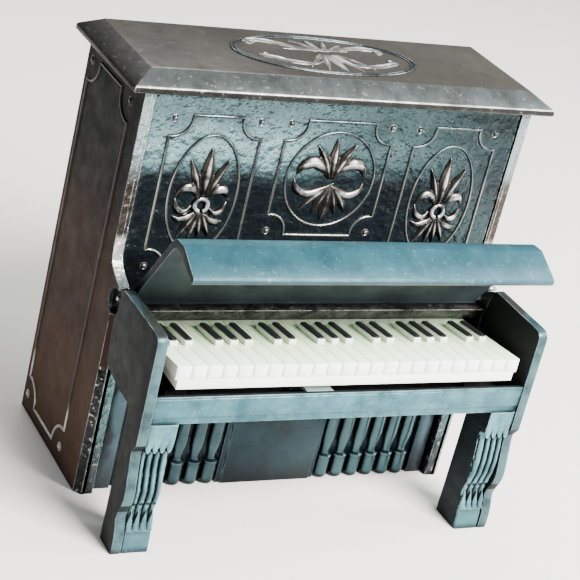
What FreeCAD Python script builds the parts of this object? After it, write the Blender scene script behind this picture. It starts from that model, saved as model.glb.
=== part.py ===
import FreeCAD, Part
import math
import os

os.makedirs("parts", exist_ok=True)

# Dolls-house upright piano with a hinged fallboard.
# Millimetres, +Z up, +X to the player's right, the player sits at -Y.
# The origin is the middle of the footprint, on the ground.

# ---- case --------------------------------------------------------------
CASE_HALF = 30.0          # outer faces of the two sides
SIDE_T = 1.5              # thickness of a side
SIDE_IN = CASE_HALF - SIDE_T
SIDE_BACK = 19.55
SIDE_FRONT = -0.8         # front edge above the shoulder
LOW_FRONT = -4.7          # front edge below the shoulder
SIDE_H = 59.0
STILE_IN = 27.4           # the lower front edge is thicker than the side
STILE_BACK = -3.0
CHAMFER_IN = -29.1        # the outer front corner is cut off from here outwards
CHAMFER_TOP = 28.0
SHOULDER_Z = 36.4
NOSE_Z = 32.3
NOTCH_Y, NOTCH_Z, NOTCH_R = -4.35, 30.2, 1.95
WEB_T = 0.5               # metal left behind the scroll notch

# ---- top board ---------------------------------------------------------
TOP_HALF = 32.4
TOP_FRONT, TOP_BACK = -2.65, 19.95
TOP_BAND_H = 1.1
TOP_H = 61.7
FLAT_HALF = 29.3
FLAT_FRONT, FLAT_BACK = 0.13, 17.45
MEDAL_Y = 8.75
MEDAL_A, MEDAL_B = 14.3, 7.1
RELIEF = 0.3

# ---- upper panel -------------------------------------------------------
PANEL_FACE = -0.5
PANEL_T = 1.4
PANEL_HALF = 28.35
SIDE_FRAME_X = 18.7
BEAD_W = 0.5

# ---- keyboard and its tray ---------------------------------------------
KEYS_HALF = 26.5
KEYS_SHIFT = 0.2          # the moulded keyboard sits a little to the right
KEY_BASE_INSET = 0.45
WHITE_COUNT = 24
KEY_FRONT = -18.85
KEY_TOP = 28.75           # top of the white keys at their front edge
KEY_TILT = 0.13           # fall of the key tops towards the back, mm per mm
KEY_LIP = 26.7
KEY_BASE = 25.3
KEY_BACK = -3.2
SHARP_FRONT, SHARP_BACK = -12.3, -6.3
SHARP_W = 1.15
SHARP_RISE = 0.75
CAP_T = 0.3
SLIP_FRONT, SLIP_BACK = -19.2, -18.5
SLIP_Z0, SLIP_Z1 = 20.2, 24.35
BED_T = 1.0

# ---- arms and legs -----------------------------------------------------
LEG_IN = 24.45
LEG_BACK = -14.9
LEG_BLOCK_BACK = -13.6    # the carved block is deeper than the cheek beside it
LEG_FRONT = -18.9

# ---- lower front -------------------------------------------------------
FIELD_FACE = -2.95        # ground the balusters stand against
CENTRE_FACE = -3.9
CENTRE_HALF = 7.3
BORDER_HALF = 8.05
BALUSTER_X0, BALUSTER_PITCH = 9.4, 2.66
BALUSTER_R = 1.18
LOWER_TOP = SLIP_Z0

# ---- fallboard ---------------------------------------------------------
HINGE_Y, HINGE_Z = -3.75, 30.4
FALL_HALF = 27.45
FALL_ANGLE = 54.5         # plate above the horizontal, as it stands
INNER_CORNER = (-13.35, 42.75)
PLATE_FRONT, PLATE_BACK = -0.45, 0.65
BARREL_R = 0.75
PIN_R = 0.35
PIN_BORE_R = 0.39


def vec(x, y, z):
    return FreeCAD.Vector(x, y, z)


def box(x0, x1, y0, y1, z0, z1):
    return Part.makeBox(x1 - x0, y1 - y0, z1 - z0, vec(x0, y0, z0))


def mirrored(shape):
    return shape.mirror(vec(0, 0, 0), vec(1, 0, 0))


def join(shapes):
    solid = shapes[0]
    if len(shapes) > 1:
        solid = shapes[0].multiFuse(shapes[1:])
    return solid.removeSplitter()


def slab_yz(points, x0, x1):
    """Straight-edged outline in the Y-Z plane, carried from x0 to x1."""
    corners = [vec(x0, y, z) for y, z in points]
    face = Part.Face(Part.makePolygon(corners + [corners[0]]))
    return face.extrude(vec(x1 - x0, 0, 0))


def smooth_yz(runs, x0, x1):
    """Outline of straight and smooth runs, each run starting where the last one ends."""
    edges = []
    for kind, points in runs:
        pts = [vec(x0, y, z) for y, z in points]
        if kind == "smooth":
            curve = Part.BSplineCurve()
            curve.interpolate(pts)
            edges.append(curve.toShape())
        else:
            for a, b in zip(pts[:-1], pts[1:]):
                edges.append(Part.makeLine(a, b))
    face = Part.Face(Part.Wire(edges))
    return face.extrude(vec(x1 - x0, 0, 0))


def notched_wire(half_w, half_h, inset, radius, place):
    """Rectangle whose corners are bitten out by arcs round the corner rivets."""
    cu = half_w - inset
    cv = half_h - inset
    reach = math.sqrt(radius ** 2 - inset ** 2)
    mid = radius * math.sqrt(0.5)
    u, v = cu - reach, cv - reach
    edges = []
    corners = [(1, 1), (1, -1), (-1, -1), (-1, 1)]
    for i, (su, sv) in enumerate(corners):
        on_top = place(su * u, sv * half_h)
        on_side = place(su * half_w, sv * v)
        middle = place(su * (cu - mid), sv * (cv - mid))
        first, last = (on_top, on_side) if su * sv > 0 else (on_side, on_top)
        edges.append(Part.Arc(first, middle, last).toShape())
        nu, nv = corners[(i + 1) % 4]
        if nu == su:
            edges.append(Part.makeLine(on_side, place(nu * half_w, nv * v)))
        else:
            edges.append(Part.makeLine(on_top, place(nu * u, nv * half_h)))
    return Part.Wire(Part.__sortEdges__(edges))


def ring(outer, inner, rise):
    face = Part.Face(outer).cut(Part.Face(inner))
    return face.extrude(rise)


def notched_bead(half_w, half_h, inset, radius, width, place, rise):
    outer = notched_wire(half_w, half_h, inset, radius, place)
    inner = notched_wire(half_w - width, half_h - width, inset - width, radius + width, place)
    return ring(outer, inner, rise)


def ellipse_wire(centre, normal, along, a, b):
    """Ellipse with radius a along the given direction and b across it."""
    if a < b:
        across = normal.cross(along)
        return ellipse_wire(centre, normal, across, b, a)
    curve = Part.Ellipse(vec(0, 0, 0), a, b)
    wire = Part.Wire([curve.toShape()])
    turn = FreeCAD.Rotation(along, normal.cross(along), normal, "ZXY")
    wire.Placement = FreeCAD.Placement(centre, turn)
    return wire


def ellipse_bead(centre, normal, along, a, b, width, rise):
    outer = ellipse_wire(centre, normal, along, a, b)
    inner = ellipse_wire(centre, normal, along, a - width, b - width)
    return ring(outer, inner, rise)


def dome(centre, normal, radius, rise):
    """Shallow rivet head."""
    ball_r = (radius ** 2 + rise ** 2) / (2 * rise)
    ball = Part.makeSphere(ball_r, centre - normal * (ball_r - rise))
    keep = Part.makeCylinder(radius + 0.2, rise + 0.2, centre, normal)
    return ball.common(keep)


# ---- sides -------------------------------------------------------------

def side_frame():
    """Raised line round a side's outer face, bitten out at the corners."""
    mid_y, mid_z = 10.45, 29.25

    def place(u, v):
        return vec(-CASE_HALF, mid_y + u, mid_z + v)

    return notched_bead(7.65, 27.1, 0.35, 3.25, BEAD_W, place, vec(-0.2, 0, 0))


def side_tongue():
    """Thin inner layer of the side that reaches forward behind the arm and closes the seam."""
    return slab_yz([(-4.0, 21.1), (-6.0, 21.1), (-6.05, 21.8), (-5.65, 22.5), (-5.4, 25.1),
                    (-5.2, 28.4), (-5.85, 29.9), (-6.1, 31.4), (-6.6, 32.95), (-4.0, 32.95)],
                   -SIDE_IN - WEB_T, -SIDE_IN)


def left_side():
    shoulder = [(SIDE_FRONT, SHOULDER_Z), (-1.0, 35.2), (-1.6, 34.3), (-2.7, 33.6), (-4.0, 33.05),
                (-5.0, 32.6), (-4.95, NOSE_Z)]
    runs = [("line", [(SIDE_BACK, 0), (SIDE_BACK, SIDE_H), (SIDE_FRONT, SIDE_H),
                      (SIDE_FRONT, SHOULDER_Z)]),
            ("smooth", shoulder),
            ("line", [(-4.95, NOSE_Z), (LOW_FRONT, 31.8), (LOW_FRONT, 0), (SIDE_BACK, 0)])]
    side = smooth_yz(runs, -CASE_HALF, -SIDE_IN)
    scroll = Part.makeCylinder(NOTCH_R, SIDE_T - WEB_T + 1, vec(-CASE_HALF - 1, NOTCH_Y, NOTCH_Z),
                               vec(1, 0, 0))
    bore = Part.makeCylinder(PIN_BORE_R, SIDE_T + 2, vec(-CASE_HALF - 1, HINGE_Y, HINGE_Z),
                             vec(1, 0, 0))
    stile = box(-CASE_HALF, -STILE_IN, LOW_FRONT, STILE_BACK, 0, LOWER_TOP)
    corner = [vec(-CASE_HALF - 1, LOW_FRONT - 1, -1), vec(CHAMFER_IN + 1, LOW_FRONT - 1, -1),
              vec(-CASE_HALF - 1, LOW_FRONT + CASE_HALF + CHAMFER_IN + 1, -1)]
    chamfer = Part.Face(Part.makePolygon(corner + [corner[0]])).extrude(vec(0, 0, CHAMFER_TOP + 1))
    side = join([side.cut(scroll), stile, side_frame()]).cut(chamfer)
    return join([side, side_tongue()]).cut(bore)


def side_rivets(sign):
    heads = []
    for y, z in ((17.6, 55.65), (3.1, 55.75), (17.9, 2.75), (3.4, 2.75)):
        heads.append(dome(vec(sign * CASE_HALF, y, z), vec(sign, 0, 0), 0.45, 0.28))
    return Part.makeCompound(heads)


# ---- top board ---------------------------------------------------------

def top_board():
    band = box(-TOP_HALF, TOP_HALF, TOP_FRONT, TOP_BACK, SIDE_H, SIDE_H + TOP_BAND_H)
    low = [vec(-TOP_HALF, TOP_FRONT, 0), vec(TOP_HALF, TOP_FRONT, 0), vec(TOP_HALF, TOP_BACK, 0),
           vec(-TOP_HALF, TOP_BACK, 0)]
    high = [vec(-FLAT_HALF, FLAT_FRONT, 0), vec(FLAT_HALF, FLAT_FRONT, 0),
            vec(FLAT_HALF, FLAT_BACK, 0), vec(-FLAT_HALF, FLAT_BACK, 0)]
    wires = []
    for corners, z in ((low, SIDE_H + TOP_BAND_H), (high, TOP_H)):
        lifted = [c + vec(0, 0, z) for c in corners]
        wires.append(Part.makePolygon(lifted + [lifted[0]]))
    hip = Part.makeLoft(wires, True, True)
    return join([band, hip])


def petal(base, tip, width, normal, rise):
    """Pointed leaf from base to tip, with its edge rounded towards the tip."""
    along = tip - base
    across = normal.cross(along).normalize() * (width / 2)
    middle = base + along * 0.55
    left = Part.Arc(base, middle + across, tip).toShape()
    right = Part.Arc(tip, middle - across, base).toShape()
    return Part.Face(Part.Wire([left, right])).extrude(normal * rise)


def curl(points, width, normal, rise):
    """Scroll stroke of even width along a smooth line."""
    line = Part.BSplineCurve()
    line.interpolate(points)
    left, right = [], []
    steps = 14
    first, last = line.FirstParameter, line.LastParameter
    for i in range(steps + 1):
        t = first + (last - first) * i / steps
        across = normal.cross(line.tangent(t)[0]).normalize()
        half = width / 2 * (0.55 + 0.45 * math.sin(math.pi * i / steps))
        left.append(line.value(t) + across * half)
        right.append(line.value(t) - across * half)
    edges = []
    for side in (left, right):
        curve = Part.BSplineCurve()
        curve.interpolate(side)
        edges.append(curve.toShape())
    edges.append(Part.makeLine(left[0], right[0]))
    edges.append(Part.makeLine(left[-1], right[-1]))
    return Part.Face(Part.Wire(Part.__sortEdges__(edges))).extrude(normal * rise)


def top_medallion():
    """Oval ring, two long scrolls and a fan above and below, on the flat of the top."""
    up = vec(0, 0, 1)
    centre = vec(0, MEDAL_Y, TOP_H)

    def at(x, y):
        return centre + vec(x, y, 0)

    pieces = [ellipse_bead(centre, up, vec(1, 0, 0), MEDAL_A, MEDAL_B, 0.4, up * RELIEF)]
    pieces.append(ellipse_bead(centre, up, vec(1, 0, 0), MEDAL_A - 0.4, MEDAL_B - 0.4, 0.6,
                               up * (RELIEF * 0.5)))
    pieces.append(Part.Face(ellipse_wire(centre, up, vec(1, 0, 0), MEDAL_A - 1.0,
                                         MEDAL_B - 1.0)).extrude(up * 0.06))
    for sx in (-1, 1):
        for sy in (-1, 1):
            scroll = [at(0, 0.45 * sy), at(4.5 * sx, 0.9 * sy), at(8.6 * sx, 2.6 * sy),
                      at(10.4 * sx, 1.9 * sy), at(9.6 * sx, 0.9 * sy)]
            pieces.append(curl(scroll, 0.9, up, RELIEF))
    for x in (-4.2, -2.2, 0.0, 2.2, 4.2):
        long_side = 5.0 - 0.28 * abs(x)
        pieces.append(petal(at(x * 0.25, 0.3), at(x, long_side), 0.9, up, RELIEF))
        pieces.append(petal(at(x * 0.25, -0.3), at(x, -long_side), 0.9, up, RELIEF))
    return join(pieces)


# ---- upper panel -------------------------------------------------------

def panel_place(mid_x, mid_z):
    def place(u, v):
        return vec(mid_x + u, PANEL_FACE, mid_z + v)
    return place


def upper_panel():
    out = vec(0, -0.25, 0)
    face_out = vec(0, -1, 0)
    pieces = [box(-PANEL_HALF, PANEL_HALF, PANEL_FACE, PANEL_FACE + PANEL_T, 29.4, SIDE_H)]
    pieces.append(notched_bead(8.4, 8.6, 0.45, 2.55, BEAD_W, panel_place(0, 47.25), out))
    pieces.append(ellipse_bead(vec(0, PANEL_FACE, 47.3), face_out, vec(1, 0, 0), 6.9, 7.05, 0.4, out))
    for sx in (-1, 1):
        mid = SIDE_FRAME_X * sx
        pieces.append(notched_bead(6.8, 11.35, 0.45, 2.55, BEAD_W, panel_place(mid, 44.4), out))
        pieces.append(ellipse_bead(vec(mid, PANEL_FACE, 44.3), face_out, vec(1, 0, 0), 5.05, 8.7,
                                   0.4, out))
    return join(pieces)


def palmette_pieces(mid_x, petals, curls):
    out = vec(0, -1, 0)

    def at(x, z):
        return vec(mid_x + x, PANEL_FACE, z)

    pieces = [petal(at(*base), at(*tip), width, out, 0.5) for base, tip, width in petals]
    pieces += [curl([at(x, z) for x, z in line], width, out, 0.45) for line, width in curls]
    return pieces


def side_palmette(mid_x):
    petals = [((0, 44.6), (0, 51.0), 1.35), ((-0.1, 44.8), (-2.75, 49.2), 1.0),
              ((0.1, 44.8), (2.75, 49.2), 1.0), ((0, 41.6), (-2.4, 38.3), 0.95),
              ((0, 41.8), (-0.1, 37.9), 0.9), ((0, 41.6), (2.0, 38.3), 0.95),
              ((0, 41.9), (-3.6, 40.4), 0.85), ((0, 41.9), (3.6, 40.4), 0.85)]
    curls = []
    for s in (-1, 1):
        curls.append(([(0, 44.6), (1.3 * s, 45.3), (2.8 * s, 45.1), (3.7 * s, 44.2)], 1.0))
        curls.append(([(0.6 * s, 42.6), (1.7 * s, 42.0), (2.9 * s, 42.3), (3.75 * s, 43.3)], 0.9))
    pieces = palmette_pieces(mid_x, petals, curls)
    out = vec(0, -1, 0)
    pieces.append(Part.makeCylinder(1.25, 0.5, vec(mid_x, PANEL_FACE, 42.9), out))
    pieces.append(box(mid_x - 0.4, mid_x + 0.4, PANEL_FACE - 0.4, PANEL_FACE, 41.4, 45.2))
    return join(pieces)


def centre_palmette():
    petals = [((0.05, 47.4), (-0.25, 53.1), 1.25), ((-0.15, 47.6), (-2.95, 52.1), 1.15),
              ((0.35, 47.6), (2.95, 52.3), 1.25), ((0.3, 46.0), (-3.2, 43.3), 1.1),
              ((0.3, 46.0), (0.0, 41.4), 1.3), ((0.3, 46.0), (3.15, 42.3), 1.1)]
    curls = []
    for s in (-1, 1):
        curls.append(([(0.2, 47.6), (1.5 * s, 48.6), (3.2 * s, 49.6), (5.15 * s, 48.1)], 1.15))
        curls.append(([(0.2, 46.3), (1.4 * s, 45.6), (3.2 * s, 45.0), (5.1 * s, 46.2)], 1.0))
    pieces = palmette_pieces(0, petals, curls)
    pieces.append(box(-0.35, 0.65, PANEL_FACE - 0.45, PANEL_FACE, 45.9, 47.8))
    return join(pieces)


def front_rivets():
    heads = []
    spots = [(7.91, 55.28), (7.91, 39.18), (12.5, 55.28), (25.3, 55.28), (12.4, 33.6), (25.2, 33.6)]
    for x, z in spots:
        for s in (-1, 1):
            heads.append(dome(vec(s * x, PANEL_FACE, z), vec(0, -1, 0), 0.42, 0.3))
    return Part.makeCompound(heads)


# ---- case back and base ------------------------------------------------

def back_panel():
    return box(-SIDE_IN, SIDE_IN, 18.3, SIDE_BACK, 2.2, SIDE_H)


def base_plate():
    return box(-SIDE_IN, SIDE_IN, -1.7, SIDE_BACK, 1.0, 2.2)


def fall_rail():
    """Ledge behind the keys; its face leans back towards its foot."""
    return slab_yz([(-5.45, 29.4), (-3.85, 27.1), (PANEL_FACE + PANEL_T, 27.1),
                    (PANEL_FACE + PANEL_T, 29.4)], -SIDE_IN, SIDE_IN)


# ---- lower front -------------------------------------------------------

def lower_panel():
    ground = box(-STILE_IN, STILE_IN, FIELD_FACE, FIELD_FACE + 1.2, 0, LOWER_TOP)
    border = box(-BORDER_HALF, BORDER_HALF, CENTRE_FACE + 0.3, FIELD_FACE, 0, LOWER_TOP)
    centre = box(-CENTRE_HALF, CENTRE_HALF, CENTRE_FACE, FIELD_FACE, 0, LOWER_TOP)
    return join([ground, border, centre])


def baluster(x):
    """Half-round turned spindle: drum on the ground, ring, neck and long shaft."""
    profile = [(0, 0), (0.85, 0), (BALUSTER_R, 0.4), (BALUSTER_R, 3.45), (1.24, 3.6), (1.24, 3.95),
               (0.72, 4.25), (0.72, 4.7), (1.0, 5.9), (1.14, 7.4), (1.14, LOWER_TOP), (0, LOWER_TOP)]
    points = [vec(x + r, FIELD_FACE, z) for r, z in profile]
    face = Part.Face(Part.makePolygon(points + [points[0]]))
    return face.revolve(vec(x, FIELD_FACE, 0), vec(0, 0, 1), -180)


def pilaster():
    return box(-26.8, -24.5, -3.6, FIELD_FACE, 0, LOWER_TOP)


# ---- keyboard tray -----------------------------------------------------

def key_slip():
    face = [(SLIP_FRONT, SLIP_Z0), (SLIP_FRONT, 21.25), (SLIP_FRONT + 0.1, 21.3),
            (SLIP_FRONT + 0.1, 21.4), (SLIP_FRONT, 21.45), (SLIP_FRONT, 24.25),
            (SLIP_FRONT + 0.1, SLIP_Z1), (SLIP_BACK, SLIP_Z1), (SLIP_BACK, SLIP_Z0)]
    return slab_yz(face, -SIDE_IN, SIDE_IN)


def key_bed():
    return box(-SIDE_IN, SIDE_IN, SLIP_BACK, FIELD_FACE + 1.2, SLIP_Z0, SLIP_Z0 + BED_T)


def key_support():
    """Blocks on the bed that carry the moulded keyboard, set back out of sight."""
    z0 = SLIP_Z0 + BED_T
    beam = box(-25.0, 25.0, -8.5, -5.0, z0, KEY_BASE)
    ends = [box(x, x + 3.0, -14.5, -8.5, z0, KEY_BASE) for x in (-25.0, 22.0)]
    return join([beam] + ends)


def keyboard_clip():
    """Bent tab that stands on the bed and reaches forward under the keyboard."""
    z0 = SLIP_Z0 + BED_T
    bent = [(-17.4, 23.1), (-13.0, 23.1), (-13.0, z0), (-12.2, z0), (-12.2, 23.5), (-17.4, 23.5)]
    return slab_yz(bent, -5.4, -1.3)


def key_top_z(y):
    return KEY_TOP - KEY_TILT * (y - KEY_FRONT)


def white_pitch():
    return 2 * KEYS_HALF / WHITE_COUNT


def sharp_centres():
    """Gaps of the white keys that carry a sharp, starting from C."""
    pattern = (1, 2, 4, 5, 6)
    centres = []
    for gap in range(1, WHITE_COUNT):
        if gap % 7 in pattern:
            centres.append(-KEYS_HALF + gap * white_pitch())
    return centres


def sharp_slice(x, y0, y1, bottom, top, width):
    outline = [(y0, key_top_z(y0) + bottom), (y1, key_top_z(y1) + bottom),
               (y1, key_top_z(y1) + top), (y0, key_top_z(y0) + top)]
    return slab_yz(outline, x - width / 2, x + width / 2)


def white_keys():
    keys = slab_yz([(KEY_FRONT, KEY_LIP), (KEY_FRONT, KEY_TOP), (KEY_BACK, key_top_z(KEY_BACK)),
                    (KEY_BACK, KEY_LIP - 0.2), (KEY_FRONT + 1, KEY_LIP - 0.2),
                    (KEY_FRONT + 1, KEY_LIP)], -KEYS_HALF, KEYS_HALF)
    base = box(-KEYS_HALF + KEY_BASE_INSET, KEYS_HALF - KEY_BASE_INSET, KEY_FRONT + 0.05, KEY_BACK,
               KEY_BASE, KEY_LIP)
    grooves = []
    for gap in range(1, WHITE_COUNT):
        x = -KEYS_HALF + gap * white_pitch()
        cut = slab_yz([(KEY_FRONT - 0.1, KEY_LIP - 0.1), (KEY_FRONT - 0.1, KEY_TOP + 0.1),
                       (KEY_BACK + 0.1, key_top_z(KEY_BACK) + 0.1),
                       (KEY_BACK + 0.1, key_top_z(KEY_BACK) - 0.12),
                       (KEY_FRONT + 0.12, KEY_TOP - 0.14), (KEY_FRONT + 0.12, KEY_LIP - 0.1)],
                      x - 0.06, x + 0.06)
        grooves.append(cut)
    block = join([keys, base]).cut(Part.makeCompound(grooves))
    stubs = [sharp_slice(x, SHARP_FRONT, SHARP_BACK, -0.3, SHARP_RISE, SHARP_W)
             for x in sharp_centres()]
    return join([block] + stubs).translated(vec(KEYS_SHIFT, 0, 0))


def sharp_caps():
    """Black tops of the sharps, a little narrower than the white blocks, with rounded corners."""
    caps = []
    for x in sharp_centres():
        cap = sharp_slice(x, SHARP_FRONT + 0.2, SHARP_BACK, SHARP_RISE, SHARP_RISE + CAP_T,
                          SHARP_W - 0.16)
        corners = [edge for edge in cap.Edges
                   if abs(edge.tangentAt(edge.FirstParameter).z) > 0.9 and edge.Length < 2 * CAP_T]
        caps.append(cap.makeFillet(0.3, corners))
    return Part.makeCompound(caps).translated(vec(KEYS_SHIFT, 0, 0))


# ---- arms and legs -----------------------------------------------------

def left_arm():
    """Flat cheek beside the keys that runs down into the outer half of the leg."""
    runs = [("line", [(-6.75, 33.2), (-17.9, 33.2)]),
            ("smooth", [(-17.9, 33.2), (-18.75, 32.95), (-19.2, 32.3), (-19.3, 31.4)]),
            ("line", [(-19.3, 31.4), (-19.45, 20.0), (-19.5, 17.3), (-18.6, 16.0), (-18.6, 15.2)]),
            ("smooth", [(-18.6, 15.2), (-18.95, 12.9), (-19.4, 9.9), (-19.2, 8.2), (-18.4, 6.2),
                        (-18.3, 5.2)]),
            ("smooth", [(-18.3, 5.2), (-18.75, 3.6), (-18.98, 1.8), (-18.95, 0)]),
            ("line", [(-18.95, 0), (LEG_BACK, 0), (LEG_BACK, 20.75), (-10.0, 20.95), (-6.1, 21.8),
                      (-5.7, 22.5), (-5.45, 25.1), (-5.25, 28.4), (-5.9, 29.9), (-6.15, 31.4),
                      (-6.75, 33.2)])]
    return smooth_yz(runs, -CASE_HALF, -SIDE_IN)


def left_leg():
    """Carved inner half of the leg: block, deep step, four reeds, leaf fringe and a plain foot."""
    runs = [("line", [(LEG_BLOCK_BACK, SLIP_Z0), (LEG_FRONT - 0.35, SLIP_Z0),
                      (LEG_FRONT - 0.35, 16.5), (-18.1, 15.8), (-18.25, 15.1)]),
            ("smooth", [(-18.25, 15.1), (-18.45, 13.6), (-18.75, 11.4), (-18.8, 9.8), (-18.5, 8.2),
                        (-18.1, 6.8), (-18.0, 6.2)]),
            ("line", [(-18.0, 6.2), (-18.3, 5.2), (-18.25, 4.4), (-18.5, 3.3)]),
            ("smooth", [(-18.5, 3.3), (-18.75, 2.2), (-18.85, 0.8), (-18.85, 0)]),
            ("line", [(-18.85, 0), (LEG_BLOCK_BACK, 0), (LEG_BLOCK_BACK, SLIP_Z0)])]
    pieces = [smooth_yz(runs, -SIDE_IN, -LEG_IN)]
    width = (SIDE_IN - LEG_IN) / 4
    for i in range(4):
        x = -SIDE_IN + width * (i + 0.5)
        pieces.append(Part.makeCone(0.4, 0.48, 6.4, vec(x, LEG_FRONT + 0.25, 8.4)))
    return join(pieces)


# ---- fallboard ---------------------------------------------------------

def plate_point(along, back):
    """Point of the fallboard section, measured up the plate and out of its back."""
    a = math.radians(FALL_ANGLE)
    y = HINGE_Y - along * math.cos(a) + back * math.sin(a)
    z = HINGE_Z + along * math.sin(a) + back * math.cos(a)
    return (y, z)


def fallboard():
    """Plate rising from the hinge to a flat crest, with a straight lip drooping forward."""
    foot_back = plate_point(0, PLATE_BACK)
    foot_front = plate_point(0, PLATE_FRONT)
    tail = plate_point(-0.45, 0.1)
    front = [(-19.65, 41.95), (-19.93, 41.4), (-19.55, 40.85)]
    runs = [("line", [tail, foot_back, plate_point(15.3, PLATE_BACK), (-13.3, 44.1), (-15.35, 44.15),
                      (-19.65, 41.95)]),
            ("smooth", front),
            ("line", [(-19.55, 40.85), (-15.0, 42.6), INNER_CORNER, foot_front, tail])]
    body = smooth_yz(runs, -FALL_HALF, FALL_HALF)
    barrel = Part.makeCylinder(BARREL_R, 2 * FALL_HALF, vec(-FALL_HALF, HINGE_Y, HINGE_Z),
                               vec(1, 0, 0))
    solid = join([body, barrel])
    for x in (-FALL_HALF - 1, FALL_HALF - 1.5):
        hole = Part.makeCylinder(PIN_R, 2.5, vec(x, HINGE_Y, HINGE_Z), vec(1, 0, 0))
        solid = solid.cut(hole)
    return solid


def left_hinge_pin():
    start = vec(-CASE_HALF + 0.55, HINGE_Y, HINGE_Z)
    return Part.makeCylinder(PIN_R, SIDE_IN - FALL_HALF + SIDE_T - 0.55 + 1.4, start, vec(1, 0, 0))


def all_parts():
    parts = {"left_side": left_side(), "top_board": top_board(), "top_medallion": top_medallion(),
             "upper_panel": upper_panel(), "left_palmette": side_palmette(-SIDE_FRAME_X),
             "centre_palmette": centre_palmette(), "right_palmette": side_palmette(SIDE_FRAME_X),
             "front_rivets": front_rivets(), "left_side_rivets": side_rivets(-1),
             "right_side_rivets": side_rivets(1), "back_panel": back_panel(),
             "base_plate": base_plate(), "fall_rail": fall_rail(), "lower_panel": lower_panel(),
             "left_pilaster": pilaster(), "left_arm": left_arm(), "left_leg": left_leg(),
             "key_slip": key_slip(), "key_bed": key_bed(), "key_support": key_support(),
             "keyboard_clip": keyboard_clip(), "white_keys": white_keys(),
             "sharp_caps": sharp_caps(), "fallboard": fallboard(),
             "left_hinge_pin": left_hinge_pin()}
    for name in ("side", "pilaster", "arm", "leg", "hinge_pin"):
        parts["right_" + name] = mirrored(parts["left_" + name])
    for i in range(6):
        x = BALUSTER_X0 + i * BALUSTER_PITCH
        parts["left_baluster_%d" % (i + 1)] = baluster(-x)
        parts["right_baluster_%d" % (i + 1)] = baluster(x)
    return parts


for name, shape in all_parts().items():
    shape.exportStep("parts/%s.step" % name)
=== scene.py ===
"""Dolls-house upright piano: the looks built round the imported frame.

Lengths in this script are millimetres until a mesh is made; Blender and the frame use metres.
The player sits at -Y, +Z is up.
"""

import math

import bmesh
import bpy
from mathutils import Matrix, Quaternion, Vector, geometry


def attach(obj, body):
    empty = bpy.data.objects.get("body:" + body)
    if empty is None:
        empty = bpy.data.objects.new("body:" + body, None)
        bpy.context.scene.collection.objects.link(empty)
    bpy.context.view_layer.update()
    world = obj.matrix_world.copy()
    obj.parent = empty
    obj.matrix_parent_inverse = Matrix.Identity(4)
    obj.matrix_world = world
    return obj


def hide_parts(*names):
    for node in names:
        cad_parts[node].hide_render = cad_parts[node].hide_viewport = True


MM = 0.001
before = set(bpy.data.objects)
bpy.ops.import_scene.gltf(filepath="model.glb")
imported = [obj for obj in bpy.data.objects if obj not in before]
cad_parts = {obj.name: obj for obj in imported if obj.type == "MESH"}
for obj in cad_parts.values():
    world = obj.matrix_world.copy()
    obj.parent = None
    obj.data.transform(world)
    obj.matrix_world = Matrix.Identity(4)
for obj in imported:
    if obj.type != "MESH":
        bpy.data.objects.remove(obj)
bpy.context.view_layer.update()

# ---- sizes of the case ----
CASE_HALF, SIDE_IN = 30.0, 28.5
SIDE_FRONT, SIDE_BACK, LOW_FRONT = -0.8, 19.55, -4.7
SIDE_H, TOP_H = 59.0, 61.7
STILE_IN, STILE_BACK, LOWER_TOP = 27.4, -3.0, 20.2
NOTCH_Y, NOTCH_Z, NOTCH_R = -4.35, 30.2, 1.95
WEB_X = 29.0
HINGE_Y, HINGE_Z = -3.75, 30.4
BORE_R = 0.39
CHAMFER_X, CHAMFER_BACK, CHAMFER_TOP = 29.1, -3.85, 28.6
FRAME_Y, FRAME_Z, FRAME_HALF_Y, FRAME_HALF_Z = 10.45, 29.25, 7.65, 27.1
TOP_HALF, TOP_FRONT, TOP_BACK = 32.4, -2.65, 19.95
FLAT_HALF, FLAT_FRONT, FLAT_BACK = 29.5, 0.0, 17.6
MEDAL_Y, MEDAL_A, MEDAL_B = 8.75, 14.3, 7.1
PANEL_FACE, PANEL_BACK, PANEL_HALF, PANEL_LOW = -0.5, 0.9, 28.35, 29.4
SIDE_FRAME_X = 18.7
# middle, height, half width, half height, and half axes of the oval of each frame on the panel
PANEL_FRAMES = [(-SIDE_FRAME_X, 44.4, 6.7, 11.3, (5.0, 8.6)), (0.0, 47.25, 8.3, 8.55, (6.85, 7.03)),
                (SIDE_FRAME_X, 44.4, 6.7, 11.3, (5.0, 8.6))]
FIELD_FACE, CENTRE_FACE, CENTRE_HALF, BORDER_HALF = -2.95, -3.9, 7.3, 8.05
POST_IN, POST_OUT, POST_FACE = 24.5, 26.8, -3.6
BALUSTER_FIRST, BALUSTER_STEP, BALUSTER_COUNT = 9.4, 2.66, 6

# ---- sizes of the keyboard ----
KEYS_HALF, KEYS_SHIFT, WHITE_COUNT = 26.5, 0.2, 24
PITCH = 2 * KEYS_HALF / WHITE_COUNT
KEY_FRONT, KEY_BACK, KEY_TOP, KEY_TILT = -18.85, -3.2, 28.75, 0.13
KEY_LIP, KEY_BASE = 26.7, 25.3
SHARP_FRONT, SHARP_BACK, SHARP_W, SHARP_RISE = -12.3, -6.3, 1.15, 0.75
SLIP_FRONT, SLIP_BACK = -19.2, -18.5

# ---- sizes of the legs and the fallboard ----
LEG_IN, LEG_BACK, LEG_BLOCK_BACK = 24.45, -14.9, -13.6
BLOCK_FACE, REED_COUNT = -19.25, 4
# (height, front face) down the middle of the carved leg
LEG_PROFILE = [(0.0, -18.85), (0.8, -18.85), (2.2, -18.78), (3.3, -18.6), (4.4, -18.35),
               (5.4, -18.2), (6.2, -18.15), (7.0, -18.35), (8.2, -18.75), (9.8, -19.05),
               (11.4, -19.0), (13.4, -18.75), (15.1, -18.55), (15.9, -18.45), (16.3, -18.4)]
FALL_HALF, FALL_ANGLE = 27.45, 54.5

# ---- mesh building ----


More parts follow.
